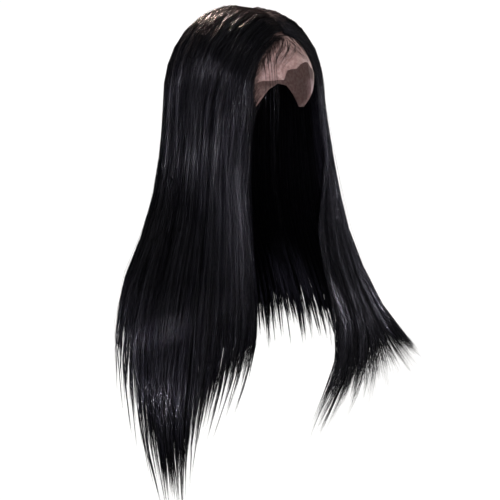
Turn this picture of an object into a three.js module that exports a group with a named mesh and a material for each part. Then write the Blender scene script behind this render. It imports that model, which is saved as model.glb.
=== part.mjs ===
// A 360 lace wig: a lace band that rings the head, a stretch cap sewn inside the ring, and long
// straight hair combed from a centre part into five falls. Millimetres, +Z up, the face opening
// towards -Y and the wearer's left towards +X. The origin is the inside of the crown, where the
// top of a head touches the cap.
import * as THREE from 'three';
import { mergeVertices } from 'three/addons/utils/BufferGeometryUtils.js';

// Driving dimensions

const HEAD_HALF = new THREE.Vector3(75, 97, 108); // inside of the cap: half breadth, half length, height
const LACE_WALL = 1.0;
const CAP_WALL = 1.2;
const SEAM_GAP = 0.35; // between the cap's rim and the lace band
const CAP_TILT = 40; // degrees that the cap's axis leans to the back of the head
const CAP_HALF_ANGLE = 50; // degrees from the cap's axis to its rim
const CAP_RINGS = 7;
const BAND_RINGS = 5;

const HEAD_CLEARANCE = 1.6; // from the head to the inside of the hair, past the cap or the lace
const FALL_GAP = 0.5; // half the gap between neighbouring falls
const LOCK_RIDGE = 2.6; // a lock's crest above the grooves beside it
const RIDGE_PER_WIDTH = 0.16; // a narrow lock's crest, as a share of its width
const RIDGE_START = 0.3; // share of the way over the head in which the locks rise
const COLUMNS_PER_LOCK = 3;
const LOCK_NOTCH = 55; // how far the groove between two locks ends above their tips
const HEM_LENGTH = 98; // from where the locks begin to part to their tips
const OUTER_SHARE = 0.12; // of a fall's thickness, outside its guides where it hangs
const TIP_THICKNESS = 1.4;
const TIP_WIDTH_SHARE = 0.35; // of the crest's width, at the tip
const DOME_ROWS = 7;
const HANG_ROWS = 8;
const HEM_ROWS = 3;

// Lower edge of the lace band: bearing from the front towards the wearer's left, height of the edge.
// Between the temples it is cut by hand in uneven scallops.
const FRONT_CUT = [
  { bearing: -48, height: -86 },
  { bearing: -41, height: -82 },
  { bearing: -34, height: -82 },
  { bearing: -27, height: -81 },
  { bearing: -20, height: -81 },
  { bearing: -18, height: -75 },
  { bearing: -15, height: -69 },
  { bearing: -10, height: -68 },
  { bearing: -4, height: -68 },
  { bearing: 0, height: -65 },
  { bearing: 5, height: -62 },
  { bearing: 14, height: -60 },
  { bearing: 22, height: -61 },
  { bearing: 25, height: -67 },
  { bearing: 33, height: -71 },
  { bearing: 40, height: -76 },
  { bearing: 48, height: -86 },
];
// One side, mirrored to the other: the tab before the ear, the arch over it and the nape.
const SIDE_EDGE = [
  { bearing: 56, height: -101 },
  { bearing: 64, height: -113 },
  { bearing: 72, height: -124 },
  { bearing: 79, height: -125 },
  { bearing: 86, height: -111 },
  { bearing: 94, height: -98 },
  { bearing: 103, height: -96 },
  { bearing: 112, height: -105 },
  { bearing: 121, height: -124 },
  { bearing: 132, height: -145 },
  { bearing: 145, height: -157 },
  { bearing: 160, height: -162 },
];
const NAPE_HEIGHT = -163;

// Guides of the hair, in order round the head from the wearer's right cheek by the back to the left.
// partAngle: where the guide leaves the part, in degrees from the vertical, to the front negative.
// rootX: its distance from the middle there. sweepOut, sweepBack: how it bows on the head, as a share
// of the head's radius. volume: extra lift over the crown. thick: share of the hair's full thickness.
// x, y: its place at each of SECTION_HEIGHTS.
const SECTION_HEIGHTS = [-115, -200, -280, -350, -420, -490, -560, -630];
const GUIDES = [
  { name: 'rightFront', partAngle: -41, rootX: -0.9, sweepOut: -0.15, sweepBack: 0.15, volume: 3, thick: 0.6,
    x: [-66, -83, -87, -89, -92, -106, -124, -130],
    y: [-72, -80, -90, -101, -105, -94, -73, -54] },
  { name: 'rightSide', partAngle: -14, rootX: -0.9, sweepOut: 0, sweepBack: 0, volume: 6, thick: 1,
    x: [-92, -99, -114, -142, -162, -168, -161, -147],
    y: [2, 2, -2, -10, -16, -16, -14, -12] },
  { name: 'rightRear', partAngle: 20, rootX: -3, sweepOut: 0, sweepBack: 0, volume: 6.5, thick: 1,
    x: [-73, -77, -96, -144, -175, -184, -176, -162],
    y: [84, 91, 97, 88, 74, 60, 46, 22] },
  { name: 'backCentre', partAngle: 26, rootX: 0, sweepOut: 0, sweepBack: 0, volume: 9, thick: 1,
    x: [0, 0, -4, -14, -20, -24, -28, -30],
    y: [120, 122, 125, 130, 130, 126, 122, 118] },
  { name: 'leftRear', partAngle: 20, rootX: 3, sweepOut: 0, sweepBack: 0, volume: 4, thick: 0.9,
    x: [73, 77, 91, 112, 122, 124, 122, 120],
    y: [84, 91, 97, 97, 92, 88, 86, 84] },
  { name: 'leftSide', partAngle: -12, rootX: 0.9, sweepOut: 0, sweepBack: 0, volume: 2.5, thick: 0.68,
    x: [91, 98, 108, 130, 150, 158, 160, 160],
    y: [2, 4, 4, -2, -12, -20, -24, -24] },
  { name: 'leftCorner', partAngle: -28, rootX: 0.9, sweepOut: 0.07, sweepBack: 0.07, volume: 2.5, thick: 0.65,
    x: [81, 92, 106, 134, 170, 206, 242, 278],
    y: [-44, -52, -62, -72, -80, -94, -108, -122] },
  { name: 'leftFlick', partAngle: -35, rootX: 0.9, sweepOut: 0.12, sweepBack: 0.12, volume: 2, thick: 0.45,
    x: [70, 82, 95, 121, 160, 224, 290, 356],
    y: [-63, -73, -84, -94, -113, -145, -178, -211] },
  { name: 'leftFan', partAngle: -39, rootX: 0.9, sweepOut: 0.14, sweepBack: 0.14, volume: 2, thick: 0.4,
    x: [65, 75, 84, 101, 122, 126, 104, 90],
    y: [-69, -77, -82, -90, -104, -110, -102, -94] },
  { name: 'leftFront', partAngle: -41, rootX: 0.9, sweepOut: 0.15, sweepBack: 0.16, volume: 2, thick: 0.35,
    x: [61, 68, 68, 76, 80, 62, 38, 30],
    y: [-74, -76, -62, -68, -93, -92, -70, -62] },
];
// Thickness of the hair at the part, half way down the head, and at each of SECTION_HEIGHTS.
const DOME_THICKNESS = [10.5, 14];
const HANG_THICKNESS = [16, 17, 16, 14, 12, 11, 9, 7];

// Each fall runs from one guide to another. tips: the height where each of its locks ends.
const FALLS = [
  { name: 'hair_right_front', from: 'rightFront', to: 'rightSide',
    tips: [-478, -522, -530, -566, -614, -626] },
  { name: 'hair_right_side', from: 'rightSide', to: 'rightRear',
    tips: [-628, -624, -608, -594, -562, -532] },
  { name: 'hair_back', from: 'rightRear', to: 'leftRear',
    tips: [-545, -545, -530, -515, -505, -496, -490, -485] },
  { name: 'hair_left_side', from: 'leftRear', to: 'leftCorner',
    tips: [-482, -480, -476, -468, -460] },
  { name: 'hair_left_front', from: 'leftCorner', to: 'leftFront',
    tips: [-460, -456, -457, -477, -506, -533, -554] },
];

const HAIR_BLACK = new THREE.MeshStandardMaterial({ color: 0x17151a, roughness: 0.42, metalness: 0 });
const LACE_TAN = new THREE.MeshStandardMaterial({ color: 0xc9a99c, roughness: 0.85, metalness: 0 });
const CAP_BROWN = new THREE.MeshStandardMaterial({ color: 0x2b211f, roughness: 0.9, metalness: 0 });

const { degToRad: radians, lerp } = THREE.MathUtils;
const HEAD_CENTRE = new THREE.Vector3(0, 0, -HEAD_HALF.z);

// Grids and closed shells

// A closed body from an outer and an inner grid of points, each a list of columns from top to bottom.
// A ring's last column joins its first. A grid whose columns share their top point closes there.
function shellGeometry(outer, inner, ring) {
  const columns = outer.length;
  const rows = outer[0].length;
  const points = [];
  for (const grid of [outer, inner]) for (const column of grid) points.push(...column);
  const at = (side, column, row) => (side * columns + (column % columns)) * rows + row;
  const index = [];
  const quad = (a, b, c, d) => index.push(a, b, c, a, c, d);
  const lastColumn = ring ? columns : columns - 1;
  for (let i = 0; i < lastColumn; i++) {
    for (let j = 0; j < rows - 1; j++) {
      quad(at(0, i, j), at(0, i, j + 1), at(0, i + 1, j + 1), at(0, i + 1, j));
      quad(at(1, i, j), at(1, i + 1, j), at(1, i + 1, j + 1), at(1, i, j + 1));
    }
    quad(at(0, i, 0), at(0, i + 1, 0), at(1, i + 1, 0), at(1, i, 0));
    quad(at(0, i, rows - 1), at(1, i, rows - 1), at(1, i + 1, rows - 1), at(0, i + 1, rows - 1));
  }
  if (!ring) {
    for (let j = 0; j < rows - 1; j++) {
      quad(at(0, 0, j), at(1, 0, j), at(1, 0, j + 1), at(0, 0, j + 1));
      const end = columns - 1;
      quad(at(0, end, j), at(0, end, j + 1), at(1, end, j + 1), at(1, end, j));
    }
  }
  return closedGeometry(points, index);
}

// Merges the points that coincide and drops the triangles that this leaves with no area.
function closedGeometry(points, index) {
  const loose = new THREE.BufferGeometry().setFromPoints(points).setIndex(index);
  const merged = mergeVertices(loose, 1e-3);
  const kept = [];
  for (let i = 0; i < merged.index.count; i += 3) {
    const [a, b, c] = [0, 1, 2].map((k) => merged.index.getX(i + k));
    if (a !== b && b !== c && a !== c) kept.push(a, b, c);
  }
  merged.setIndex(kept);
  merged.computeVertexNormals();
  return merged;
}

function namedMesh(name, geometry, material) {
  const mesh = new THREE.Mesh(geometry, material);
  mesh.name = name;
  return mesh;
}

// The head's form, and the cap and lace band on it

// The direction at a polar angle from the vertical and a bearing from the front, both in radians.
function headDirection(polar, bearing) {
  return new THREE.Vector3(
    Math.sin(polar) * Math.sin(bearing),
    -Math.sin(polar) * Math.cos(bearing),
    Math.cos(polar),
  );
}

function headPoint(direction, lift) {
  const half = HEAD_HALF.clone().addScalar(lift);
  return direction.clone().multiply(half).add(HEAD_CENTRE);
}

// Polar angle at which the cap's tilted rim crosses a bearing.
function rimPolar(bearing) {
  const along = Math.cos(radians(CAP_TILT));
  const across = Math.sin(radians(CAP_TILT)) * Math.cos(bearing);
  const reach = Math.hypot(along, across);
  return Math.acos(Math.cos(radians(CAP_HALF_ANGLE)) / reach) - Math.atan2(across, along);
}

function polarAtHeight(height) {
  return Math.acos((height - HEAD_CENTRE.z) / HEAD_HALF.z);
}

// A wall on the head between two polar angles, at the bearings given, all round the head.
function headWall(bearings, startPolar, endPolar, rings, wall) {
  const column = (lift) => (bearing, i) => {
    const points = [];
    for (let j = 0; j <= rings; j++) {
      const polar = lerp(startPolar(bearing, i), endPolar(bearing, i), j / rings);
      points.push(headPoint(headDirection(polar, bearing), lift));
    }
    return points;
  };
  return shellGeometry(bearings.map(column(wall)), bearings.map(column(0)), true);
}

// The band's lower edge all the way round, from the nape by the wearer's right.
function bandEdge() {
  const rightSide = SIDE_EDGE.map((row) => ({ ...row, bearing: -row.bearing })).reverse();
  return [{ bearing: -180, height: NAPE_HEIGHT }, ...rightSide, ...FRONT_CUT, ...SIDE_EDGE];
}

// The cap and the band share their bearings, so that the seam between them has one width.
const EDGE = bandEdge();
const EDGE_BEARINGS = EDGE.map((row) => radians(row.bearing));
const HALF_SEAM = SEAM_GAP / 2 / HEAD_HALF.x;

function crownCap() {
  const rim = (bearing) => rimPolar(bearing) - HALF_SEAM;
  return namedMesh('crown_cap', headWall(EDGE_BEARINGS, () => 0, rim, CAP_RINGS, CAP_WALL), CAP_BROWN);
}

function laceBand() {
  const rim = (bearing) => rimPolar(bearing) + HALF_SEAM;
  const hem = (bearing, i) => polarAtHeight(EDGE[i].height);
  return namedMesh('lace_band', headWall(EDGE_BEARINGS, rim, hem, BAND_RINGS, LACE_WALL), LACE_TAN);
}

// The hair's middle surface: across position u counts guides, down position q is 0 at the part,
// 1 at the first section height and one more at each further section

function spline(values, position) {
  const last = values.length - 1;
  const i = THREE.MathUtils.clamp(Math.floor(position), 0, last - 1);
  const t = position - i;
  const [p1, p2] = [values[i], values[i + 1]];
  const p0 = i > 0 ? values[i - 1] : 2 * p1 - p2;
  const p3 = i + 2 <= last ? values[i + 2] : 2 * p2 - p1;
  return 0.5 * (2 * p1 + (p2 - p0) * t + (2 * p0 - 5 * p1 + 4 * p2 - p3) * t * t
    + (3 * p1 - p0 - 3 * p2 + p3) * t ** 3);
}

const guideIndex = (name) => GUIDES.findIndex((guide) => guide.name === name);
const guideValue = (key, u) => spline(GUIDES.map((guide) => guide[key]), u);
const sectionValue = (axis, u) =>
  SECTION_HEIGHTS.map((height, k) => spline(GUIDES.map((guide) => guide[axis][k]), u));

function hangPoint(u, q) {
  return new THREE.Vector3(
    spline(sectionValue('x', u), q - 1),
    spline(sectionValue('y', u), q - 1),
    spline(SECTION_HEIGHTS, q - 1),
  );
}

// From the part a guide runs over the head to its first section, bowed by its sweep.
function domePoint(u, q) {
  const partAngle = radians(guideValue('partAngle', u));
  const root = new THREE.Vector3(
    guideValue('rootX', u) / HEAD_HALF.x, Math.sin(partAngle), Math.cos(partAngle)).normalize();
  const rootLift = HEAD_CLEARANCE + hairThickness(u, 0) / 2;
  const half = HEAD_HALF.clone().addScalar(rootLift + guideValue('volume', u) * 4 * q * (1 - q));
  const leave = hangPoint(u, 1).sub(HEAD_CENTRE).divide(HEAD_HALF.clone().addScalar(rootLift));
  const standOff = leave.length();
  leave.normalize();
  const angle = root.angleTo(leave);
  const direction = root.multiplyScalar(Math.sin((1 - q) * angle) / Math.sin(angle));
  direction.addScaledVector(leave, Math.sin(q * angle) / Math.sin(angle));
  direction.x += 4 * q * (1 - q) * guideValue('sweepOut', u);
  direction.y += 4 * q * (1 - q) * guideValue('sweepBack', u);
  direction.normalize().multiplyScalar(1 + (standOff - 1) * q * q);
  return direction.multiply(half).add(HEAD_CENTRE);
}

const hairPoint = (u, q) => (q < 1 ? domePoint(u, q) : hangPoint(u, q));

// Short steps across and down the surface give its directions.
const STEP = 0.03;
const acrossHair = (u, q) => hairPoint(u + STEP, q).sub(hairPoint(u - STEP, q));

// Outward normal of the middle surface. Along the part it has no sideways lean.
function hairNormal(u, q) {
  const down = hairPoint(u, q + STEP).sub(hairPoint(u, Math.max(q - STEP, 0)));
  const normal = acrossHair(u, q).cross(down).normalize();
  if (q === 0) normal.setX(0).normalize();
  return normal;
}

function hairThickness(u, q) {
  const along = q < 1
    ? spline([DOME_THICKNESS[0], DOME_THICKNESS[1], HANG_THICKNESS[0]], q * 2)
    : spline(HANG_THICKNESS, q - 1);
  return along * guideValue('thick', u);
}

// Down position at a height below the first section.
function downAtHeight(height) {
  const k = SECTION_HEIGHTS.findIndex((h) => h <= height);
  const [above, below] = [SECTION_HEIGHTS[k - 1], SECTION_HEIGHTS[k]];
  return k + (above - height) / (above - below);
}

// Where the hair is thicker than its room, its inside lies on the head.
function clearOfHead(point) {
  const half = HEAD_HALF.clone().addScalar(HEAD_CLEARANCE);
  const reach = point.clone().sub(HEAD_CENTRE).divide(half);
  return reach.length() < 1 ? reach.normalize().multiply(half).add(HEAD_CENTRE) : point;
}

// One fall of hair: a curved sheet whose outer face is ribbed in locks, with pointed lock ends

// A lock has a groove column at its start and crest columns that close in on its middle at the tip.
function fallColumns(fall) {
  const columns = [];
  const first = guideIndex(fall.from);
  const lockWidth = (guideIndex(fall.to) - first) / fall.tips.length;
  fall.tips.forEach((tip, lock) => {
    const before = fall.tips[Math.max(lock - 1, 0)];
    const start = first + lock * lockWidth;
    columns.push({ u: start, tipU: start, end: Math.max(tip, before) + LOCK_NOTCH, crest: 0, side: 0 });
    for (let k = 1; k < COLUMNS_PER_LOCK; k++) {
      const u = start + (k / COLUMNS_PER_LOCK) * lockWidth;
      const tipU = lerp(start + lockWidth / 2, u, TIP_WIDTH_SHARE);
      columns.push({ u, tipU, end: tip, crest: 1, side: 0 });
    }
  });
  const last = guideIndex(fall.to);
  columns.push({ u: last, tipU: last, end: fall.tips.at(-1) + LOCK_NOTCH, crest: 0, side: 0 });
  if (first > 0) columns[0].side = 1; // the two edges at the face meet no other fall
  if (last < GUIDES.length - 1) columns.at(-1).side = -1;
  for (const column of columns) {
    column.lockWidth = lockWidth;
    column.hemTop = hemTop(fall.tips, (column.u - first) / lockWidth);
  }
  return columns;
}

// Height at which the locks begin to part: a fixed length above the mean of the tips near by.
function hemTop(tips, lockPosition) {
  const weights = tips.map((tip, lock) => Math.exp(-((lock + 0.5 - lockPosition) ** 2)));
  const total = weights.reduce((sum, weight) => sum + weight);
  return HEM_LENGTH + tips.reduce((sum, tip, lock) => sum + tip * weights[lock], 0) / total;
}

// Down positions of a column's rows, over the head, down to its hem and along the hem to its end,
// each with its share of the hem.
function columnRows(column) {
  const [top, end] = [downAtHeight(column.hemTop), downAtHeight(column.end)];
  const rows = [];
  for (let j = 0; j < DOME_ROWS; j++) rows.push({ q: j / DOME_ROWS, hem: 0 });
  for (let j = 0; j < HANG_ROWS; j++) rows.push({ q: lerp(1, top, j / HANG_ROWS), hem: 0 });
  for (let j = 0; j <= HEM_ROWS; j++) rows.push({ q: lerp(top, end, j / HEM_ROWS), hem: j / HEM_ROWS });
  return rows;
}

// The outer and the inner point of one row of a column.
function wallPoints(column, { q, hem }) {
  const u = lerp(column.u, column.tipU, hem);
  const halfLock = column.lockWidth / 2;
  const width = hairPoint(u + halfLock, q).distanceTo(hairPoint(u - halfLock, q));
  const fullRidge = Math.min(LOCK_RIDGE, RIDGE_PER_WIDTH * width) * Math.min(1, q / RIDGE_START);
  const ridge = (column.crest * fullRidge - LOCK_RIDGE / 2) * (1 - hem);
  const thickness = lerp(hairThickness(u, q), TIP_THICKNESS, hem);
  const outside = thickness * lerp(0.5, OUTER_SHARE, THREE.MathUtils.smoothstep(q, RIDGE_START, 1));
  const middle = hairPoint(u, q).addScaledVector(acrossHair(u, q).normalize(), column.side * FALL_GAP);
  const normal = hairNormal(u, q);
  return [
    middle.clone().addScaledVector(normal, outside + ridge),
    clearOfHead(middle.clone().addScaledVector(normal, outside - thickness)),
  ];
}

function hairFall(fall) {
  const columns = fallColumns(fall).reverse();
  const walls = columns.map((column) => columnRows(column).map((row) => wallPoints(column, row)));
  const side = (which) => walls.map((column) => column.map((pair) => pair[which]));
  return namedMesh(fall.name, shellGeometry(side(0), side(1), false), HAIR_BLACK);
}

const wig = new THREE.Group();
wig.add(crownCap(), laceBand(), ...FALLS.map(hairFall));

export default wig;
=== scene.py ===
import bpy
import math
import numpy as np
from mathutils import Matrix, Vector


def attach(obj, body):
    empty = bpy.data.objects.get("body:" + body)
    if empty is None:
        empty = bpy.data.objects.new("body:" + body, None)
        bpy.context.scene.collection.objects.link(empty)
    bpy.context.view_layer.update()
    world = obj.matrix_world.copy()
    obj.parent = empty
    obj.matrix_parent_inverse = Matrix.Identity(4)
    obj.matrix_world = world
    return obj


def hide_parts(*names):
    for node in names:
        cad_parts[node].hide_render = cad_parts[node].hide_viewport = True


# A long straight wig, strand by strand: five falls of hair, the lace band and the stretch cap.
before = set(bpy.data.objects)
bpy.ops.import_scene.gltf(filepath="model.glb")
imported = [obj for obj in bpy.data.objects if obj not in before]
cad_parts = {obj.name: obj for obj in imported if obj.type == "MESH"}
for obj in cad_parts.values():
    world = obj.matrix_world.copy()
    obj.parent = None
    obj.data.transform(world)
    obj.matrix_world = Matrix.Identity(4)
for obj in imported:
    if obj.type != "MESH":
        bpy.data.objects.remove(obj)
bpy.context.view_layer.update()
bpy.ops.object.select_all(action="DESELECT")
mm = 0.001
tiny = 1e-12


# The rounded form that the cap, the lace and the hair are laid on

capForm = dict(
    half=np.array((75.0, 97.0, 108.0)) * mm,  # half breadth, half length, height
    tilt=math.radians(40),                    # the cap's axis leans back
    halfAngle=math.radians(50),               # from that axis to the cap's rim
    seam=0.0025,                              # half the gap between cap and lace, as an angle
)
capCentre = np.array((0.0, 0.0, -capForm["half"][2]))


def unit(vectors):
    return vectors / np.maximum(np.linalg.norm(vectors, axis=-1, keepdims=True), tiny)


def smooth(value, start, end):
    t = np.clip((value - start) / (end - start), 0, 1)
    return t * t * (3 - 2 * t)


def scatter(rng, count, low, spread):
    return low + spread * rng.random(count)


def capPlace(polar, bearing, lift):
    # polar from the crown, bearing from the front towards +x
    aim = np.stack([np.sin(polar) * np.sin(bearing), -np.sin(polar) * np.cos(bearing), np.cos(polar)], -1)
    return aim * (capForm["half"] + np.asarray(lift)[..., None]) + capCentre


def polarAtHeight(height):
    return np.arccos(np.clip((height - capCentre[2]) / capForm["half"][2], -1, 1))


def rimPolar(bearing):
    along = math.cos(capForm["tilt"])
    across = math.sin(capForm["tilt"]) * np.cos(bearing)
    return np.arccos(math.cos(capForm["halfAngle"]) / np.hypot(along, across)) - np.arctan2(across, along)


def clearOfCap(places, lift):
    half = capForm["half"] + lift
    reach = (places - capCentre) / half
    length = np.linalg.norm(reach, axis=-1, keepdims=True)
    return np.where(length < 1, reach / np.maximum(length, tiny) * half + capCentre, places)


# The hair's form: guides from the part over the crown and down, in order from the right front by the back
# to the left front. part is where a guide leaves the part, in degrees from the vertical; out and back are
# how it bows over the crown; x and y are its place at each height.

hairForm = dict(
    heights=(-115, -200, -280, -350, -420, -490, -560, -630),
    domeThickness=(10.5, 14, 16),
    hangThickness=(16, 17, 16, 14, 12, 11, 9, 7),
    clearance=1.6,     # from the cap's form to the inside of the hair
    outerShare=0.12,   # of the thickness, outside the guides where the hair hangs
    hangFrom=0.3,      # how far down the crown the hair starts to hang outside its guides
    ridge=1.3,         # a lock's crest and groove
    ridgeFrom=0.3,     # how far down the crown the ridges reach their height
    partFade=0.05,     # how far down the crown the part is felt
    partSide=0.9,      # from the middle of the part to the roots beside it
    step=0.03,         # for slopes
)
guides = [
    dict(name="rightFront", part=-41, rootX=-0.9, out=-0.15, back=0.15, volume=3, thick=0.6,
         x=(-66, -83, -87, -89, -92, -106, -124, -130), y=(-72, -80, -90, -101, -105, -94, -73, -54)),
    dict(name="rightSide", part=-14, rootX=-0.9, out=0, back=0, volume=6, thick=1,
         x=(-92, -99, -114, -142, -162, -168, -161, -147), y=(2, 2, -2, -10, -16, -16, -14, -12)),
    dict(name="rightRear", part=20, rootX=-3, out=0, back=0, volume=6.5, thick=1,
         x=(-73, -77, -96, -144, -175, -184, -176, -162), y=(84, 91, 97, 88, 74, 60, 46, 22)),
    dict(name="backCentre", part=26, rootX=0, out=0, back=0, volume=9, thick=1,
         x=(0, 0, -4, -14, -20, -24, -28, -30), y=(120, 122, 125, 130, 130, 126, 122, 118)),
    dict(name="leftRear", part=20, rootX=3, out=0, back=0, volume=4, thick=0.9,
         x=(73, 77, 91, 112, 122, 124, 122, 120), y=(84, 91, 97, 97, 92, 88, 86, 84)),
    dict(name="leftSide", part=-12, rootX=0.9, out=0, back=0, volume=2.5, thick=0.68,
         x=(91, 98, 108, 130, 150, 158, 160, 160), y=(2, 4, 4, -2, -12, -20, -24, -24)),
    dict(name="leftCorner", part=-28, rootX=0.9, out=0.07, back=0.07, volume=2.5, thick=0.65,
         x=(81, 92, 106, 134, 170, 206, 242, 278), y=(-44, -52, -62, -72, -80, -94, -108, -122)),
    dict(name="leftFlick", part=-35, rootX=0.9, out=0.12, back=0.12, volume=2, thick=0.45,
         x=(70, 82, 95, 121, 160, 224, 290, 356), y=(-63, -73, -84, -94, -113, -145, -178, -211)),
    dict(name="leftFan", part=-39, rootX=0.9, out=0.14, back=0.14, volume=2, thick=0.4,
         x=(65, 75, 84, 101, 122, 126, 104, 90), y=(-69, -77, -82, -90, -104, -110, -102, -94)),
    dict(name="leftFront", part=-41, rootX=0.9, out=0.15, back=0.16, volume=2, thick=0.35,
         x=(61, 68, 68, 76, 80, 62, 38, 30), y=(-74, -76, -62, -68, -93, -92, -70, -62)),
]
guideNames = [row["name"] for row in guides]


def widened(values):
    # one more row at each end of every axis, straight on, for the spline's outer taps
    table = np.array(values, float)
    for axis in range(table.ndim):
        t = np.moveaxis(table, axis, 0)
        t = np.concatenate([2 * t[:1] - t[1:2], t, 2 * t[-1:] - t[-2:-1]])
        table = np.moveaxis(t, 0, axis)
    return table


def taps(position, count):
    # the four weights of a Catmull-Rom spline
    cell = np.clip(np.floor(position), 0, count - 2).astype(int)
    t = position - cell
    weights = (2 * t**2 - t - t**3, 2 - 5 * t**2 + 3 * t**3, t + 4 * t**2 - 3 * t**3, t**3 - t**2)
    return cell, [0.5 * w for w in weights]


def splineAt(table, position):
    # a widened table of one axis
    cell, weights = taps(position, len(table) - 2)
    return sum(w * table[cell + k] for k, w in enumerate(weights))


def splineOver(table, down, across):
    rowCell, rowWeights = taps(down, table.shape[0] - 2)
    columnCell, columnWeights = taps(across, table.shape[1] - 2)
    total = 0
    for i, rowWeight in enumerate(rowWeights):
        for k, columnWeight in enumerate(columnWeights):
            total = total + rowWeight * columnWeight * table[rowCell + i, columnCell + k]
    return total


guideKeys = ("part", "rootX", "out", "back", "volume", "thick")
guideTables = {key: widened([row[key] for row in guides]) for key in guideKeys}
hangTables = {key: widened(np.transpose([row[key] for row in guides])) * mm for key in ("x", "y")}
heightTable = widened(hairForm["heights"]) * mm
domeThicknessTable = widened(hairForm["domeThickness"]) * mm
hangThicknessTable = widened(hairForm["hangThickness"]) * mm


# u counts guides, and q goes from 0 at the part to 1 where the hair leaves the crown, then counts heights

def guideAt(key, u):
    return splineAt(guideTables[key], u)


def hangPlace(u, q):
    x, y = (splineOver(hangTables[key], q - 1, u) for key in ("x", "y"))
    return np.stack([x, y, splineAt(heightTable, q - 1)], -1)


def thicknessAt(u, q):
    onDome = splineAt(domeThicknessTable, np.minimum(q, 1) * (len(hairForm["domeThickness"]) - 1))
    hanging = splineAt(hangThicknessTable, np.maximum(q, 1) - 1)
    return np.where(q < 1, onDome, hanging) * guideAt("thick", u)


def domePlace(u, q):
    angle = np.radians(guideAt("part", u))
    sideways = guideAt("rootX", u) * mm / capForm["half"][0]
    root = unit(np.stack([sideways, np.sin(angle), np.cos(angle)], -1))
    lift = hairForm["clearance"] * mm + thicknessAt(u, np.zeros_like(u)) / 2
    bow = 4 * q * (1 - q)
    half = capForm["half"] + (lift + guideAt("volume", u) * mm * bow)[..., None]
    leave = (hangPlace(u, np.ones_like(u)) - capCentre) / (capForm["half"] + lift[..., None])
    standOff = np.linalg.norm(leave, axis=-1)
    leave = unit(leave)
    turn = np.arccos(np.clip((root * leave).sum(-1), -1, 1))
    aim = root * (np.sin((1 - q) * turn) / np.sin(turn))[..., None]
    aim = aim + leave * (np.sin(q * turn) / np.sin(turn))[..., None]
    aim[..., 0] += bow * guideAt("out", u)
    aim[..., 1] += bow * guideAt("back", u)
    return unit(aim) * (1 + (standOff - 1) * q * q)[..., None] * half + capCentre


def hairPlace(u, q):
    onDome = domePlace(u, np.clip(q, 0, 1))
    return np.where((q < 1)[..., None], onDome, hangPlace(u, np.maximum(q, 1)))


def hairFrame(u, q):
    # place on the hair's middle sheet, the way across it and the way out of it
    step = hairForm["step"]
    across = hairPlace(u + step, q) - hairPlace(u - step, q)
    down = hairPlace(u, q + step) - hairPlace(u, np.maximum(q - step, 0))
    out = unit(np.cross(across, down))
    out[..., 0] *= np.minimum(q / hairForm["partFade"], 1)  # no sideways lean along the part
    return hairPlace(u, q), unit(across), unit(out)


def downAtHeight(height):
    # straight on below the lowest row
    rows = heightTable[1:-1]
    below = np.maximum(rows[-1] - height, 0) / (rows[-2] - rows[-1])
    return np.interp(-height, -rows, np.arange(1, len(rows) + 1)) + below


print("hair form:", len(guides), "guides")


# Strands: closed three-sided threads that taper to a point, many to a mesh. Their map holds the strand's
# own tone across and its place from part to tip along.

bakeMap = "OFBake"
toneWidth = 0.004   # of one strand on its map
threadSides = 3


def threadTemplate(rings):
    # corners of one thread's faces as (ring, side); the tip is (rings, 0)
    faces = [[(0, 0), (0, 2), (0, 1)]]
    for j in range(rings - 1):
        for k in range(threadSides):
            n = (k + 1) % threadSides
            faces.append([(j, k), (j, n), (j + 1, n), (j + 1, k)])
    for k in range(threadSides):
        faces.append([(rings - 1, k), (rings - 1, (k + 1) % threadSides), (rings, 0)])
    corners = np.array([corner for face in faces for corner in face])
    sizes = np.array([len(face) for face in faces])
    return corners, sizes


def threadArrays(batch):
    path, out, radius = batch["path"], batch["out"], batch["radius"]
    count, points = path.shape[:2]
    rings = points - 1
    along = unit(np.gradient(path, axis=1))
    first = unit(out - (out * along).sum(-1, keepdims=True) * along)
    second = np.cross(along, first)
    sides = []
    for k in range(threadSides):
        angle = batch["turn"][:, None, None] + k * math.tau / threadSides
        around = np.cos(angle) * first + np.sin(angle) * second
        sides.append((path + radius[..., None] * around)[:, :rings])
    ringPoints = np.stack(sides, 2).reshape(count, rings * threadSides, 3)
    places = np.concatenate([ringPoints, path[:, -1:]], 1).reshape(-1, 3)
    corners, sizes = threadTemplate(rings)
    inThread = corners[:, 0] * threadSides + corners[:, 1]
    starts = np.arange(count)[:, None] * (rings * threadSides + 1)
    tone = batch["tone"][:, None] + (corners[:, 1][None] - 1) * toneWidth
    maps = np.stack([tone, batch["along"][:, corners[:, 0]]], -1).reshape(-1, 2)
    return places, (inThread[None] + starts).ravel(), np.tile(sizes, count), maps


def strandPiece(name, batches, finish):
    rows = []
    base = 0
    for batch in batches:
        places, corners, sizes, maps = threadArrays(batch)
        rows.append((places, corners + base, sizes, maps))
        base += len(places)
    places, corners, sizes, maps = (np.concatenate(column) for column in zip(*rows))
    mesh = bpy.data.meshes.new(name)
    mesh.vertices.add(len(places))
    mesh.vertices.foreach_set("co", places.astype(np.float32).ravel())
    mesh.loops.add(len(corners))
    mesh.loops.foreach_set("vertex_index", corners.astype(np.int32))
    mesh.polygons.add(len(sizes))
    mesh.polygons.foreach_set("loop_start", (np.cumsum(sizes) - sizes).astype(np.int32))
    mesh.update(calc_edges=True)
    mesh.polygons.foreach_set("use_smooth", np.ones(len(sizes), bool))
    layer = mesh.uv_layers.new(name=bakeMap)
    layer.uv.foreach_set("vector", maps.astype(np.float32).ravel())
    mesh.validate()
    mesh.materials.append(finish)
    piece = bpy.data.objects.new(name, mesh)
    bpy.context.collection.objects.link(piece)
    print("strands:", name, int((sizes - 2).sum()), "triangles")
    return piece


# Shader maths as plain expressions

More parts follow.
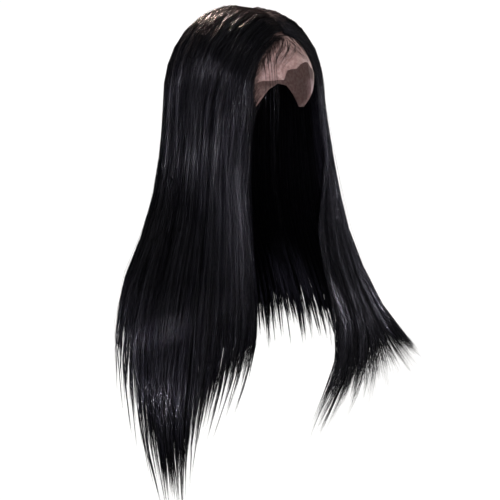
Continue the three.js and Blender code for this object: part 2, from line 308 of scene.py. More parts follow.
class Wire:
    def __init__(self, socket):
        self.socket = socket

    def node(self, kind, settings=None, values=None, out=0):
        tree = self.socket.id_data
        made = tree.nodes.new(kind)
        for key, value in (settings or {}).items():
            setattr(made, key, value)
        for key, value in (values or {}).items():
            if isinstance(value, Wire):
                tree.links.new(value.socket, made.inputs[key])
            else:
                made.inputs[key].default_value = value
        return Wire(made.outputs[out])

    def math(self, operation, *values):
        return self.node("ShaderNodeMath", {"operation": operation}, dict(enumerate(values)))

    def __add__(self, other):
        return self.math("ADD", self, other)

    def __sub__(self, other):
        return self.math("SUBTRACT", self, other)

    def __rsub__(self, other):
        return self.math("SUBTRACT", other, self)

    def __mul__(self, other):
        return self.math("MULTIPLY", self, other)

    def __mod__(self, other):
        return self.math("FLOORED_MODULO", self, other)

    def __lt__(self, other):
        return self.math("LESS_THAN", self, other)

    def __abs__(self):
        return self.math("ABSOLUTE", self)

    __radd__ = __add__
    __rmul__ = __mul__

    def cosine(self):
        return self.math("COSINE", self)

    def higher(self, other):
        return self.math("MAXIMUM", self, other)

    def fade(self, start, end):
        values = {"Value": self, "From Min": start, "From Max": end}
        return self.node("ShaderNodeMapRange", {"interpolation_type": "SMOOTHSTEP"}, values)

    def mix(self, low, high):
        return self.node("ShaderNodeMix", {"data_type": "RGBA"}, {"Factor": self, 6: low, 7: high}, out=2)

    def parts(self, count):
        return [self.node("ShaderNodeSeparateXYZ", None, {0: self}, out=k) for k in range(count)]

    def bump(self, strength, distance):
        values = {"Strength": strength, "Distance": distance, "Height": self}
        return self.node("ShaderNodeBump", None, values)


def newFinish(name):
    finish = bpy.data.materials.new(name)
    finish.use_nodes = True
    shader = finish.node_tree.nodes["Principled BSDF"]
    return finish, shader, Wire(shader.outputs[0])


def feed(shader, **links):
    for name, wire in links.items():
        shader.id_data.links.new(wire.socket, shader.inputs[name.replace("_", " ")])


def onMap(start):
    return start.node("ShaderNodeUVMap", {"uv_map": bakeMap}).parts(2)


def onObject(start):
    return start.node("ShaderNodeTexCoord", out=3)


hairFinish = dict(
    black=(0.0008, 0.0008, 0.0011, 1),
    grey=(0.022, 0.0215, 0.025, 1),
    paintedSheenColour=(0.06, 0.042, 0.038, 1),
    sheenUp=(0.096, 0.467, 0.876),   # painted sheen: the crown's strands are coloured brown above a level that slants to the back
    sheenLevel=(-0.024, 0.002),
    sheenRag=0.028,                  # how far that level follows a strand's tone
    sheenEnd=(0.03, 0.06),           # along the strands
    streaks=(0.15, 0.95),            # tones of the strands with the least and with the most painted sheen
    roots=(0.004, 0.035),            # where strands by the part turn from dull to glossy
    glossy=(0.05, 0.35),             # tones of the dullest and of the smoothest strand
    rough=0.62, gloss=0.34, shine=0.1,
    sheen=(0.83, 0.79, 1, 1),        # black hair shines a little blue
    coated=(0.42, 0.72),             # tones between which strands catch more light
    coatRough=0.21,
)


def hairBlack():
    finish, shader, start = newFinish("hairBlack")
    tone, along = onMap(start)
    # painted sheen: strands on the crown above a slanted level get a brown colour that stands in for a warm
    # highlight
    dot = {0: onObject(start), 1: hairFinish["sheenUp"]}
    level = start.node("ShaderNodeVectorMath", {"operation": "DOT_PRODUCT"}, dot, out=1)
    level = level + (tone - 0.5) * hairFinish["sheenRag"]
    crown = level.fade(*hairFinish["sheenLevel"]) * (1 - along.fade(*hairFinish["sheenEnd"]))
    streak = crown * tone.fade(*hairFinish["streaks"])
    body = (tone * tone * tone).mix(hairFinish["black"], hairFinish["grey"])
    offRoots = along.fade(*hairFinish["roots"])
    glossy = (tone * offRoots).fade(*hairFinish["glossy"])
    feed(shader, Base_Color=streak.mix(body, hairFinish["paintedSheenColour"]),
         Roughness=hairFinish["rough"] - glossy * hairFinish["gloss"],
         Coat_Weight=tone.fade(*hairFinish["coated"]) * offRoots)
    shader.inputs["Coat Roughness"].default_value = hairFinish["coatRough"]
    shader.inputs["Specular IOR Level"].default_value = hairFinish["shine"]
    shader.inputs["Specular Tint"].default_value = hairFinish["sheen"]
    return finish


hairBlackFinish = hairBlack()


# The falls. tips is where each lock's last strand ends, thin how far above it the first ones end, and fade
# how steeply their number drops. hairline is how far roots scatter past the edge that grows from the lace,
# in guides. drift turns the hem towards the next guide.

falls = [
    dict(name="hair_right_front", start="rightFront", end="rightSide", seed=11, hairline=-0.16,
         clumpPull=0.75, girth=1, tone=0.0, gather=0.55, drift=0.02,
         tips=(-545, -582, -600, -636, -652, -654), thin=(119, 140, 124, 134, 88, 80),
         fade=(5, 4.4, 3.8, 3.4, 2.6, 2.5)),
    dict(name="hair_right_side", start="rightSide", end="rightRear", seed=12, hairline=0,
         clumpPull=0.7, girth=1, tone=0.0, gather=0.4, drift=0.12,
         tips=(-654, -653, -651, -642, -610, -580), thin=(86, 113, 175, 214, 222, 204),
         fade=(2.6, 2.9, 4.4, 8, 10, 9)),
    dict(name="hair_back", start="rightRear", end="leftRear", seed=13, hairline=0,
         clumpPull=0.6, girth=1.4, tone=0.0, gather=0.5, drift=0.0,
         tips=(-550, -545, -530, -515, -505, -496, -490, -485), thin=(175, 160, 110, 80, 70, 60, 60, 60),
         fade=(6, 5, 4, 3, 3, 3, 3, 3)),
    dict(name="hair_left_side", start="leftRear", end="leftCorner", seed=14, hairline=0,
         clumpPull=0.6, girth=1.2, tone=0.0, gather=0.5, drift=0.0,
         tips=(-482, -480, -476, -468, -460), thin=(60, 60, 50, 42, 36), fade=(2.5, 2.5, 2.5, 2.5, 2.5)),
    # painted light: the left front's tone lift makes its strands paler, so this fall reads brighter
    dict(name="hair_left_front", start="leftCorner", end="leftFront", seed=15, hairline=0.08,
         clumpPull=0.6, girth=1, tone=0.2, gather=0.4, drift=0.0,
         tips=(-466, -463, -468, -497, -530, -558, -574), thin=(14, 12, 18, 40, 54, 60, 60),
         fade=(2, 2, 2, 2.5, 2.5, 2.5, 2.5)),
]
groom = dict(
    layers=[
        dict(strands=1550, points=13, depth=(0.0, 0.35), clumpsPerLock=30, radius=0.24, loose=0.0),
        dict(strands=1480, points=9, depth=(0.3, 1.0), clumpsPerLock=24, radius=0.34, loose=0.0),
        dict(strands=70, points=13, depth=(0.0, 0.02), clumpsPerLock=8, radius=0.12, loose=2.2),
    ],
    lap=0.06,               # how far a fall's strands pass its neighbour's
    steps=(2.2, 0.45),      # share of a strand's points over the crown and where it hangs
    clumpWidth=5.5,         # of the strands that share a tip
    widthDown=4.0,          # the height row where that width holds
    widthStep=0.1,
    clumpFrom=0.5,          # share of the length where clumps start to close
    toneBands=(1.3, 2.9),   # broad light and dark bands, to a lock
    bandShare=0.25,         # of those bands in a clump's tone
    clumpShare=0.55,        # of the clump's tone in a strand's
    toneEnds=(0.01, 0.99),
    innerShade=0.75,         # painted shade: how much tone the strands next to the cap lose, so the inside of the hair is darker and duller
    innerDepth=(0.3, 0.7),
    mapRows=8.5,            # rows of q along a strand's map
    mapEnds=(0.005, 0.995),
    hem=dict(
        fingersPerLock=3,
        fingerScatter=0.35, fingerSeed=100,
        length=20,              # above the thinning, where clumps start to gather in fingers
        thinReach=1.2,          # of the thinning
        flat=0.6,               # how much thinner the fall is at its end
        ownThinning=14,         # how far strands end above their clump's tip
    ),
    roots=dict(
        atPart=0.12,            # strands in this share of the depth start at the part
        reach=0.9, curve=0.8,   # how far down the crown the deeper ones start
        scatter=0.03, lowest=0.95,
        depthScatter=0.07,
        depth=(0.35, 0.4),      # in the fall, from and range
        sink=0.85, sinkEnd=0.3,
        rise=0.13,              # from the cap to the strand's own layer
        partCover=4.0,          # how far roots lie past the middle of the part
        coverCurve=1.5,
        settle=0.3,             # how far down a strand finds its own guide
        bite=0.2,               # how far strands may pass inside the hair's form
    ),
    hairline=dict(
        share=1.4, width=0.16,  # of the strands, falling off from the edge
        lowest=0.97, curve=1.6,
        sinkWidth=0.12,
    ),
    wander=dict(
        sway=(1.6, 0.5),        # sideways, of clumps and strands
        swayWaves=(5.5, 9),
        swayGrows=(0.1, 0.8),
        lift=0.9,               # in and out, of clumps
        looseGrows=0.4, looseWaves=8, looseMean=0.6,
    ),
    girth=dict(
        scatter=(0.8, 0.4),     # from and range
        root=0.55, rootEnd=0.08,
        tip=0.4, tipFrom=0.8,
    ),
)
hem, roots, hairline, wander = (groom[key] for key in ("hem", "roots", "hairline", "wander"))


def downSteps(top, end, points):
    # more steps over the crown than where the hair hangs
    domeWeight, hangWeight = groom["steps"]

    def measure(q):
        return domeWeight * np.minimum(q, 1) + hangWeight * np.maximum(q - 1, 0)

    low, high = measure(top), measure(end)
    w = low[:, None] + (high - low)[:, None] * np.linspace(0, 1, points)
    return np.where(w < domeWeight, w / domeWeight, 1 + (w - domeWeight) / hangWeight)


def fallSpan(fall):
    first, last = guideNames.index(fall["start"]), guideNames.index(fall["end"])
    low = first - groom["lap"] * (first > 0)
    high = last + groom["lap"] * (last < len(guides) - 1)
    locks = len(fall["tips"])
    return dict(first=first, last=last, low=low, high=high, locks=locks, lockWidth=(last - first) / locks)


def nearestFinger(fall, span, u):
    # the hem's fingers stand in all layers at the same places
    fingers = span["locks"] * hem["fingersPerLock"]
    rng = np.random.default_rng(fall["seed"] + hem["fingerSeed"])
    jitter = rng.uniform(-hem["fingerScatter"], hem["fingerScatter"], fingers)
    places = span["first"] + (np.arange(fingers) + 0.5 + jitter) * (span["last"] - span["first"]) / fingers
    return places[np.abs(u[:, None] - places).argmin(1)]


def layClumps(fall, layer, span, rng):
    count = span["locks"] * layer["clumpsPerLock"]
    lockMiddles = span["first"] + (np.arange(span["locks"]) + 0.5) * span["lockWidth"]
    u = span["low"] + (span["high"] - span["low"]) * (np.arange(count) + rng.random(count)) / count
    outer, inner = layer["depth"]
    depth = scatter(rng, count, outer, inner - outer)
    tip, thin = (np.interp(u, lockMiddles, fall[key]) * mm for key in ("tips", "thin"))
    fade = np.interp(u, lockMiddles, fall["fade"])
    end = tip + thin * np.log1p(rng.random(count) * np.expm1(fade)) / fade
    turns = u / span["lockWidth"] * math.tau
    broad, narrow = (turns * bands for bands in groom["toneBands"])
    tone = 0.5 + 0.25 * np.sin(broad + fall["seed"]) + 0.25 * np.sin(narrow + 2 * fall["seed"])
    tone = groom["bandShare"] * tone + (1 - groom["bandShare"]) * rng.random(count)
    sway = rng.normal(0, wander["sway"][0] * mm, count)
    phase = rng.random(count) * math.tau
    lift = rng.normal(0, wander["lift"] * mm, count)
    return dict(u=u, depth=depth, tip=tip, thin=thin, end=end, finger=nearestFinger(fall, span, u),
                tone=tone, sway=sway, phase=phase, lift=lift)


def layRoots(fall, layer, span, clump, rng):
    # clump holds the values of each strand's own clump
    count = layer["strands"]
    down = np.full(count, groom["widthDown"])
    step = groom["widthStep"]
    spread = hairPlace(clump["u"] + step, down) - hairPlace(clump["u"] - step, down)
    guideWidth = np.linalg.norm(spread, axis=-1) / (2 * step)
    u = clump["u"] + (rng.random(count) - 0.5) * groom["clumpWidth"] * mm / guideWidth
    u = np.clip(u, span["low"], span["high"])
    depth = np.clip(clump["depth"] + rng.normal(0, roots["depthScatter"], count), 0, 1)
    under = np.clip((depth - roots["atPart"]) / (1 - roots["atPart"]), 0, 1)
    rootDown = roots["reach"] * under ** roots["curve"] + rng.normal(0, roots["scatter"], count)
    rootDown = np.clip(rootDown, 0, roots["lowest"])
    sunk = roots["sink"] * smooth(rootDown, 0, roots["sinkEnd"])
    rootDepth = np.minimum(scatter(rng, count, *roots["depth"]) + sunk, 1)
    endDown = downAtHeight(clump["end"] + hem["ownThinning"] * mm * rng.random(count) ** 2)
    rootU = u
    if fall["hairline"] and layer["depth"][0] == 0:
        edge = span["first"] if fall["hairline"] < 0 else span["last"]
        fromEdge = np.abs(u - edge) / (span["last"] - span["first"])
        grows = rng.random(count) < hairline["share"] * np.exp(-fromEdge / hairline["width"])
        rootDown = np.where(grows, rng.random(count) * hairline["lowest"], rootDown)
        rootU = np.where(grows, edge + fall["hairline"] * rng.random(count) ** hairline["curve"], u)
        sunk = rootDepth + (1 - rootDepth) * np.exp(-fromEdge / hairline["sinkWidth"])
        rootDepth = np.where(grows, 1.0, sunk)
    return dict(u=u, depth=depth, rootU=rootU, rootDown=rootDown, rootDepth=rootDepth, endDown=endDown)


def layCourse(fall, layer, clump, strand):
    # where on the guides a strand runs, point by point; clump and strand hold columns
    q = downSteps(strand["rootDown"][:, 0], strand["endDown"][:, 0], layer["points"])
    fromRoot = q - strand["rootDown"]
    share = fromRoot / (strand["endDown"] - strand["rootDown"])
    pull = fall["clumpPull"] * smooth(share, groom["clumpFrom"], 1)
    u = strand["u"] + (clump["u"] - strand["u"]) * pull
    hemTop = downAtHeight(clump["tip"] + hem["thinReach"] * clump["thin"] + hem["length"] * mm)
    inHem = smooth(q, hemTop, downAtHeight(clump["tip"]))
    u = u + (clump["finger"] - u) * fall["gather"] * inHem + fall["drift"] * inHem**2
    u = u + (strand["rootU"] - strand["u"]) * np.exp(-fromRoot / roots["settle"])
    depth = strand["depth"] + (clump["depth"] - strand["depth"]) * pull
    depth = strand["rootDepth"] + (depth - strand["rootDepth"]) * smooth(fromRoot, 0, roots["rise"])
    return dict(u=u, q=q, share=share, inHem=inHem, depth=depth)


def layPath(layer, span, clump, course, rng):
    count = layer["strands"]
    u, q, share, inHem = (course[key] for key in ("u", "q", "share", "inHem"))
    place, across, out = hairFrame(u, q)
    thick = thicknessAt(u, q) * (1 - hem["flat"] * inHem)
    outside = thick * (0.5 + (hairForm["outerShare"] - 0.5) * smooth(q, hairForm["hangFrom"], 1))
    grown = np.minimum(1, q / hairForm["ridgeFrom"])
    ridge = -np.cos((u - span["first"]) / span["lockWidth"] * math.tau) * hairForm["ridge"] * mm
    offset = outside - course["depth"] * thick + ridge * grown * (1 - inHem) + clump["lift"] * grown
    loose = np.abs(rng.normal(0, layer["loose"] * mm, count))[:, None]
    loose = loose * smooth(share, 0, wander["looseGrows"])
    swing = np.sin(clump["phase"] + share * wander["looseWaves"])
    offset = offset + loose * (wander["looseMean"] + (1 - wander["looseMean"]) * swing)
    clumpWaves, ownWaves = wander["swayWaves"]
    sway = clump["sway"] * np.sin(clump["phase"] + share * clumpWaves) * (1 + layer["loose"])
    ownSway = rng.normal(0, wander["sway"][1] * mm, count)[:, None]
    ownPhase = rng.random(count)[:, None] * math.tau
    sway = (sway + ownSway * np.sin(ownPhase + share * ownWaves)) * smooth(share, *wander["swayGrows"])
    path = place + out * offset[..., None] + across * sway[..., None]
    overPart = roots["partCover"] * mm * rng.random(count)[:, None] ** roots["coverCurve"]
    overPart = overPart * np.exp(-q / hairForm["partFade"])
    path[..., 0] -= np.clip(guideAt("rootX", u) / hairForm["partSide"], -1, 1) * overPart
    return clearOfCap(path, (hairForm["clearance"] - roots["bite"]) * mm), out


def columns(values):
    return {key: value[:, None] for key, value in values.items()}


def layFall(fall, layer, rng):
    count = layer["strands"]
    span = fallSpan(fall)
    clumps = layClumps(fall, layer, span, rng)
    own = rng.permutation(np.arange(count) % len(clumps["u"]))
    clump = {key: value[own] for key, value in clumps.items()}
    strand = layRoots(fall, layer, span, clump, rng)
    course = layCourse(fall, layer, columns(clump), columns(strand))
    path, out = layPath(layer, span, columns(clump), course, rng)
    girth = groom["girth"]
    fromRoot = smooth(course["share"], 0, girth["rootEnd"])
    toTip = smooth(course["share"], girth["tipFrom"], 1)
    taper = (girth["root"] + (1 - girth["root"]) * fromRoot) * (1 - girth["tip"] * toTip)
    radius = layer["radius"] * fall["girth"] * mm * taper * scatter(rng, count, *girth["scatter"])[:, None]
    tone = groom["clumpShare"] * clump["tone"] + (1 - groom["clumpShare"]) * rng.random(count)
    tone = np.clip(tone + fall["tone"], *groom["toneEnds"])
    # painted shade: strands deep in the hair, next to the cap, lose tone so the inside reads darker
    tone = tone * (1 - groom["innerShade"] * smooth(strand["depth"], *groom["innerDepth"]))
    along = np.clip(course["q"] / groom["mapRows"], *groom["mapEnds"])
    return dict(path=path, out=out, radius=radius, tone=tone, along=along, turn=rng.random(count) * math.tau)


def settle(piece, slot, *nodes):
    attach(piece, "root")
    if nodes:
        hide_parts(*nodes)


for fall in falls:
    rng = np.random.default_rng(fall["seed"])
    batches = [layFall(fall, layer, rng) for layer in groom["layers"]]
    strands = strandPiece(fall["name"].replace("hair", "strands"), batches, hairBlackFinish)
    settle(strands, "hair", fall["name"])


# Baby hairs laid in an S over the lace, short hairs along the hairline, and long wisps that hang at its
# right end. Rows: bearing and height of the root and of the end. mirrored is how many grow on the left.

babyHairs = dict(
    rows=[(-14, -28, -32, -66), (-5, -32, -24, -68), (9, -37, -21, -79), (-3, -38, -24, -73),
          (-16, -37, -30, -78), (-27, -38, -34, -70), (-31, -44, -36, -74), (-36, -53, -40, -80),
          (-9, -30, -27, -72), (3, -33, -14, -62)],
    strands=8, points=17, radius=0.08, spread=0.5, wave=1.4, mirrored=3, seed=21,
    bend=(0.05, 0.75), hang=0,
)
edgeHairs = dict(
    rows=[(-39, -57, -41, -72), (-35, -50, -38, -65), (-31, -43, -34, -58), (-27, -38, -31, -54),
          (-22, -34, -27, -51), (-17, -30, -23, -47), (-12, -29, -19, -46), (-7, -30, -15, -48),
          (-2, -32, -8, -50)],
    strands=9, points=7, radius=0.09, spread=1.8, wave=0.3, mirrored=5, seed=23,
    bend=(0.05, 0.75), hang=0,
)
templeWisps = dict(
    rows=[(-34, -46, -34, -160), (-31, -43, -31.5, -172), (-27, -39, -29, -178), (-38, -54, -37.5, -150),
          (-23, -36, -27, -170)],
    strands=4, points=16, radius=0.10, spread=0.5, wave=0.4, mirrored=0, seed=22,
    bend=(0.05, 0.35), hang=2.5,   # how far the ends stand off
)
laceHair = dict(
    leftScatter=1.5,
    shorter=0.3,                # share of the length, at most
    pinch=(0.4, 0.35, 0.65),    # where strands lie closest, how close, and how they spread from there
    waves=7.5,
    wander=0.25, wanderWaves=7,
    lift=1.15, arch=0.9,        # off the cap's form
    girth=(0.8, 0.4),           # from and range
    tip=0.7,                    # how much thinner the end is
    tone=(0.2, 0.6),
    mapAlong=(0.2, 0.2),
)


def onLace(bearing, height, lift):
    # below the widest part a strand hangs straight down
    place = capPlace(polarAtHeight(np.maximum(height, capCentre[2])), bearing, lift)
    place[..., 2] = np.where(height < capCentre[2], height, place[..., 2])
    return place


def laceStrands(settings):
    rng = np.random.default_rng(settings["seed"])
    right = np.array(settings["rows"], float)
    left = right * (-1, 1, -1, 1) + rng.normal(0, laceHair["leftScatter"], right.shape)
    copies = [np.repeat(right, settings["strands"], 0), np.repeat(left, settings["mirrored"], 0)]
    rootBearing, rootHeight, endBearing, endHeight = np.concatenate(copies).T[..., None]
    count = len(rootBearing)
    t = np.linspace(0, 1, settings["points"])[None]

    def own(values):
        return values[:, None]

    shorter = own(rng.random(count)) * laceHair["shorter"]
    height = (rootHeight + (endHeight - rootHeight) * t * (1 - shorter)) * mm
    bearing = rootBearing + (endBearing - rootBearing) * smooth(t, *settings["bend"])
    middle, closest, opening = laceHair["pinch"]
    spread = own(rng.normal(0, settings["spread"], count))
    bearing = bearing + spread * (closest + opening * np.abs(t - middle))
    bearing = bearing - settings["wave"] * np.sin(t * laceHair["waves"]) * np.sign(rootBearing - endBearing)
    stray = own(rng.normal(0, laceHair["wander"], count))
    phase = own(rng.random(count)) * math.tau
    bearing = bearing + stray * np.sin(phase + t * laceHair["wanderWaves"])
    arch = laceHair["arch"] * own(rng.random(count)) * np.sin(t * math.pi)
    lift = (laceHair["lift"] + arch + settings["hang"] * t**2) * mm
    path = onLace(np.radians(bearing), height, lift)
    girth = own(scatter(rng, count, *laceHair["girth"]))
    radius = settings["radius"] * mm * girth * (1 - laceHair["tip"] * smooth(t, 0.5, 1))
    tone = scatter(rng, count, *laceHair["tone"])
    alongStart, alongRange = laceHair["mapAlong"]
    along = np.broadcast_to(alongStart + alongRange * t, path.shape[:2])
    turn = rng.random(count) * math.tau
    return dict(path=path, out=unit(path - capCentre), radius=radius, tone=tone, along=along, turn=turn)


for name, kinds in (("baby_hairs", (babyHairs, edgeHairs)), ("temple_wisps", (templeWisps,))):
    settle(strandPiece(name, [laceStrands(kind) for kind in kinds], hairBlackFinish), "hair")


# The lace band: a sheet on the cap's form with a hand-cut edge, and a cap of stretch net inside the ring.
# Rows of the edge: bearing and height.

laceBand = dict(
    columns=480, rows=16, lift=1.0, wall=0.5,
    front=[(-48, -86), (-41, -82), (-34, -82), (-27, -81), (-20, -81), (-18, -75), (-15, -69), (-10, -68),
           (-4, -68), (0, -65), (5, -62), (14, -60), (22, -61), (25, -67), (33, -71), (40, -76), (48, -86)],
    side=[(56, -101), (64, -113), (72, -124), (79, -125), (86, -111), (94, -98), (103, -96), (112, -105),
          (121, -124), (132, -145), (145, -157), (160, -162), (180, -163)],
    tooth=0.5, teeth=0.62, toothFrom=0.9,           # the cut runs through the net's cells, teeth to a degree
    crease=dict(start=(15, -38), end=(27, -60), high=1.3, wide=3.0, past=0.2, degree=1.5),
    flat=(0.56, 0.10), area=0.038,
    finish=dict(
        cell=2.0, around=545, over=330,                 # mm
        threadWidth=(0.10, 0.2),                        # of a cell
        thread=(0.31, 0.185, 0.17, 1), pale=(0.42, 0.29, 0.27, 1),
        grain=240.0, grainDetail=3.0, grainSoft=(0.3, 0.7),
        knotAndShadeColour=(0.02, 0.016, 0.016, 1),
        knotsAndShade=(-0.066, -0.03), knotsAndShadeShare=0.3,             # darker up to the hairline, where hairs are tied in, and painted shade under the hair
        partShade=(-0.026, -0.008), partShadeShare=0.66,   # and painted shade, darkest under the part
        loose=(0.66, 0.50, 0.47, 1),                    # painted highlight: paler where the edge lifts
        looseDown=(-0.068, -0.042), looseLeft=(-0.002, 0.02), looseFront=-0.05,
        open=0.62, rough=0.75, grainRough=0.15, shine=0.25,
        bump=(0.5, 0.0003),
    ),
)
weld = 1e-6


def laceEdge(bearing):
    rows = [(-b, h) for b, h in laceBand["side"][::-1]] + laceBand["front"] + laceBand["side"]
    bearings, heights = np.array(rows, float).T
    return np.interp(np.degrees(bearing), bearings, heights) * mm


def mappedGrid(name, settings, place, finish):
    # a flat grid is laid on the cap's form: x runs round it and y up it
    bpy.ops.mesh.primitive_grid_add(x_subdivisions=settings["columns"],
                                    y_subdivisions=settings["rows"], size=2)
    piece = bpy.context.object
    piece.name = name
    mesh = piece.data
    flat = np.empty(len(mesh.vertices) * 3, np.float32)
    mesh.vertices.foreach_get("co", flat)
    flat = flat.reshape(-1, 3).astype(float)
    places, maps = place(flat[:, 0] * math.pi, (1 - flat[:, 1]) / 2)
    mesh.vertices.foreach_set("co", places.astype(np.float32).ravel())
    corners = np.empty(len(mesh.loops), np.int32)
    mesh.loops.foreach_get("vertex_index", corners)
    layer = mesh.uv_layers[0]
    layer.name = bakeMap
    layer.uv.foreach_set("vector", maps[corners].astype(np.float32).ravel())
    bpy.ops.object.mode_set(mode="EDIT")
    bpy.ops.mesh.select_all(action="SELECT")
    bpy.ops.mesh.remove_doubles(threshold=weld)
    bpy.ops.object.mode_set(mode="OBJECT")
    solid = piece.modifiers.new("wall", "SOLIDIFY")
    solid.thickness = settings["wall"] * mm
    solid.offset = -1
    bpy.ops.object.modifier_apply(modifier=solid.name)
    bpy.ops.object.shade_smooth()
    mesh.materials.append(finish)
    piece.select_set(False)
    print("sheet:", name, len(mesh.polygons), "faces")
    return piece


def creaseLift(bearing, polar):
    # a low fold that slants over the left of the front; a degree is made as long as it is there in mm
    crease = laceBand["crease"]
    scale = np.array((crease["degree"], 1))
    start = np.array(crease["start"], float) * scale
    way = np.array(crease["end"], float) * scale - start
    height = (np.cos(polar) - 1) * capForm["half"][2] / mm
    here = np.stack([np.degrees(bearing), height], -1) * scale - start
    t = np.clip((here @ way) / (way @ way), -crease["past"], 1 + crease["past"])
    off = np.linalg.norm(here - t[:, None] * way, axis=1)
    return crease["high"] * np.exp(-(off / crease["wide"]) ** 2)


def layLace(bearing, share):
    rim = rimPolar(bearing) + capForm["seam"]
    teeth = np.abs((np.degrees(bearing) * laceBand["teeth"]) % 1 - 0.5) * 2
    cut = laceBand["tooth"] * mm * (teeth - 0.5) * smooth(share, laceBand["toothFrom"], 1)
    polar = rim + (polarAtHeight(laceEdge(bearing) + cut) - rim) * share
    lift = (laceBand["lift"] + creaseLift(bearing, polar)) * mm
    return capPlace(polar, bearing, lift), np.stack([bearing / math.tau + 0.5, polar / math.pi], -1)


def hexNet(x, y):
    # distance from the nearest cell wall of a honeycomb with cells one unit across
    tall = math.sqrt(3)

    def near(shiftX, shiftY):
        return (x + shiftX) % 1.0 - 0.5, (y + shiftY) % tall - tall / 2

    (ax, ay), (bx, by) = near(0.0, 0.0), near(0.5, tall / 2)
    first = (ax * ax + ay * ay) < (bx * bx + by * by)
    px = abs(bx + (ax - bx) * first)
    py = abs(by + (ay - by) * first)
    return 0.5 - px.higher(px * 0.5 + py * (tall / 2))


def laceNet():
    look = laceBand["finish"]
    finish, shader, start = newFinish("laceNet")
    across, down = onMap(start)
    wall = hexNet(across * (look["around"] / look["cell"]), down * (look["over"] / look["cell"]))
    thread = 1 - wall.fade(*look["threadWidth"])
    place = onObject(start)
    grain = {"Scale": look["grain"], "Detail": look["grainDetail"], "Vector": place}
    soft = start.node("ShaderNodeTexNoise", None, grain).fade(*look["grainSoft"])
    left, front, height = place.parts(3)
    # painted highlight: the lace is paler where its edge lifts, low on the left of the front
    loose = (1 - height.fade(*look["looseDown"])) * left.fade(*look["looseLeft"])
    loose = loose * (front < look["looseFront"])
    # darker lace where hairs are tied in at the hairline, with painted shade under the hair, darkest under
    # the part
    knotsAndShade = height.fade(*look["knotsAndShade"]) * look["knotsAndShadeShare"]
    knotsAndShade = knotsAndShade + height.fade(*look["partShade"]) * look["partShadeShare"]
    colour = loose.mix(soft.mix(look["thread"], look["pale"]), look["loose"])
    feed(shader, Base_Color=knotsAndShade.mix(colour, look["knotAndShadeColour"]),
         Alpha=look["open"] + thread * (1 - look["open"]),
         Roughness=look["rough"] + soft * look["grainRough"],
         Normal=thread.bump(*look["bump"]))
    shader.inputs["Specular IOR Level"].default_value = look["shine"]
    return finish


lace = mappedGrid("lace_sheet", laceBand, layLace, laceNet())
settle(lace, "lace", "lace_band")

crownCap = dict(
    columns=160, rows=44, lift=1.2, wall=0.6,
    wefts=9, weftHeight=0.45, weftCurve=4,
    weftFrom=(0.05, 0.15),   # sewn rows, none at the very crown
    flat=(0.16, 0.15), area=0.018,
    finish=dict(
        net=(0.022, 0.017, 0.016, 1), weft=(0.008, 0.007, 0.007, 1),
        cells=(160.0, 60.0), threadWidth=(0.12, 0.24),
        sewn=(0.75, 0.95),
        rough=0.9, sewnGloss=0.4,
        bump=(0.6, 0.0004),
    ),
)


def layCap(bearing, share):
    polar = (rimPolar(bearing) - capForm["seam"]) * share
    row = 0.5 - 0.5 * np.cos(share * crownCap["wefts"] * math.tau)
    sewn = crownCap["weftHeight"] * row ** crownCap["weftCurve"] * smooth(share, *crownCap["weftFrom"])
    lift = crownCap["lift"] - sewn
    return capPlace(polar, bearing, lift * mm), np.stack([bearing / math.tau + 0.5, share], -1)


def capNet():
    look = crownCap["finish"]
    finish, shader, start = newFinish("capNet")
    across, down = onMap(start)
    cellsRound, cellsDown = look["cells"]
    thread = 1 - hexNet(across * cellsRound, down * cellsDown).fade(*look["threadWidth"])
    wave = (down * (crownCap["wefts"] * math.tau)).cosine()
    sewn = (0.5 - wave * 0.5).fade(*look["sewn"])
    feed(shader, Base_Color=sewn.mix(look["net"], look["weft"]),
         Roughness=look["rough"] - sewn * look["sewnGloss"],
         Normal=thread.bump(*look["bump"]))
    return finish


cap = mappedGrid("cap_sheet", crownCap, layCap, capNet())
settle(cap, "cap_net", "crown_cap")


# Stage: camera at the photo's angle, a pale floor and soft light

stage = dict(
    azimuth=math.radians(-44), elevation=math.radians(9), distance=2.6, lookAt=(0, 0, -0.314),
    lens=139.7, sensor=36,
    floorHeight=-1.4, floorSize=160, floorColour=(0.9, 0.9, 0.9, 1), floorRough=0.9, floorShine=0.1,
    ambient=0.15,
)


def aimAt(thing, target):
    thing.rotation_mode = "QUATERNION"
    thing.rotation_quaternion = (Vector(target) - thing.location).to_track_quat("-Z", "Y")


flatReach = math.cos(stage["elevation"])
towards = Vector((math.sin(stage["azimuth"]) * flatReach, -math.cos(stage["azimuth"]) * flatReach,
                  math.sin(stage["elevation"])))
camera = bpy.data.objects.new("camera", bpy.data.cameras.new("camera"))
camera.data.lens = stage["lens"]
camera.data.sensor_width = stage["sensor"]
camera.location = Vector(stage["lookAt"]) + towards * stage["distance"]
aimAt(camera, stage["lookAt"])
bpy.context.collection.objects.link(camera)
bpy.context.scene.camera = camera

bpy.ops.mesh.primitive_plane_add(size=stage["floorSize"], location=(0, 0, stage["floorHeight"]))
floor = bpy.context.object
floor.name = "floor"
paleFloor, floorShader, _ = newFinish("paleFloor")
floorShader.inputs["Base Color"].default_value = stage["floorColour"]
floorShader.inputs["Roughness"].default_value = stage["floorRough"]
floorShader.inputs["Specular IOR Level"].default_value = stage["floorShine"]
floor.data.materials.append(paleFloor)
floor.visible_glossy = False  # the hair mirrors the lamps alone

# Spots have a size in metres and a cone in degrees: narrow keys for the sheen on the right fall, fills for
# the lace and the left fall, warm rims for the crown. The sun's size is its angle, and it makes no glints.

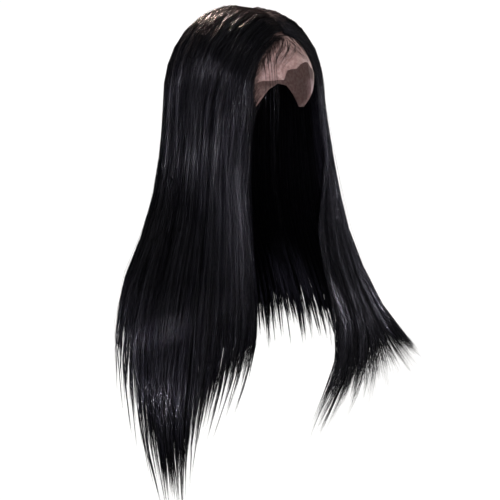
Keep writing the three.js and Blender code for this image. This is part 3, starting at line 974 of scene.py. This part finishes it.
coolWhite = (0.87, 0.85, 1)
warmGlow = (1, 0.74, 0.66)
sun = dict(name="overhead", place=(-0.3, 0.2, 2.0), aim=(0, 0, -0.2), size=40, power=3.4,
           colour=(1, 0.99, 0.98))
spots = [
    dict(name="keyLow", place=(-2.6, 0.3, -1.15), aim=(-0.15, 0.05, -0.49),
         size=0.15, cone=8, power=760, colour=coolWhite),
    dict(name="keyLeft", place=(-2.6, -0.7, 0.0), aim=(-0.07, -0.1, -0.187),
         size=0.12, cone=8.2, power=265, colour=coolWhite),
    dict(name="keyHigh", place=(-2.5, 0.03, 0.12), aim=(-0.17, 0.075, -0.485),
         size=0.10, cone=5.5, power=700, colour=coolWhite),
    dict(name="keyTop", place=(-2.6, -0.3, 0.05), aim=(-0.095, 0.037, -0.095),
         size=0.12, cone=5, power=190, colour=coolWhite),
    dict(name="fillFront", place=(-0.6, -3.0, 0.6), aim=(0.0, -0.09, -0.06),
         size=0.12, cone=4.5, power=210, colour=(1, 0.98, 0.97)),
    dict(name="fillRight", place=(2.1, -2.0, 0.25), aim=(0.12, -0.09, -0.34),
         size=0.15, cone=8.4, power=620, colour=(0.88, 0.85, 1)),
    dict(name="fillLeft", place=(-1.63, -1.95, -0.72), aim=(0.09, -0.075, -0.21),
         size=0.1, cone=4.2, power=120, colour=(0.88, 0.86, 1)),
    dict(name="rimCrown", place=(0.5, 2.0, 1.4), aim=(-0.03, 0.04, 0.0),
         size=0.2, cone=6, power=4200, colour=warmGlow),
    dict(name="rimPart", place=(1.1, 1.8, 1.3), aim=(-0.02, 0.03, 0.0),
         size=0.2, cone=5, power=800, colour=warmGlow),
]


def hangLamp(row, kind):
    lamp = bpy.data.lights.new(row["name"], kind)
    lamp.energy = row["power"]
    lamp.color = row["colour"]
    light = bpy.data.objects.new(row["name"], lamp)
    light.location = row["place"]
    light.visible_camera = False
    aimAt(light, row["aim"])
    bpy.context.collection.objects.link(light)
    return light


overhead = hangLamp(sun, "SUN")
overhead.data.angle = math.radians(sun["size"])
overhead.visible_glossy = False
for row in spots:
    spot = hangLamp(row, "SPOT")
    spot.data.shadow_soft_size = row["size"]
    spot.data.spot_size = math.radians(row["cone"])
    spot.data.spot_blend = 1
world = bpy.data.worlds.new("studio")
world.use_nodes = True
sky = world.node_tree.nodes["Background"]
sky.inputs["Color"].default_value = (1, 1, 1, 1)
sky.inputs["Strength"].default_value = stage["ambient"]
bpy.context.scene.world = world
bpy.context.scene.view_settings.view_transform = "Standard"
print("stage: camera, floor and", len(spots) + 1, "lights")
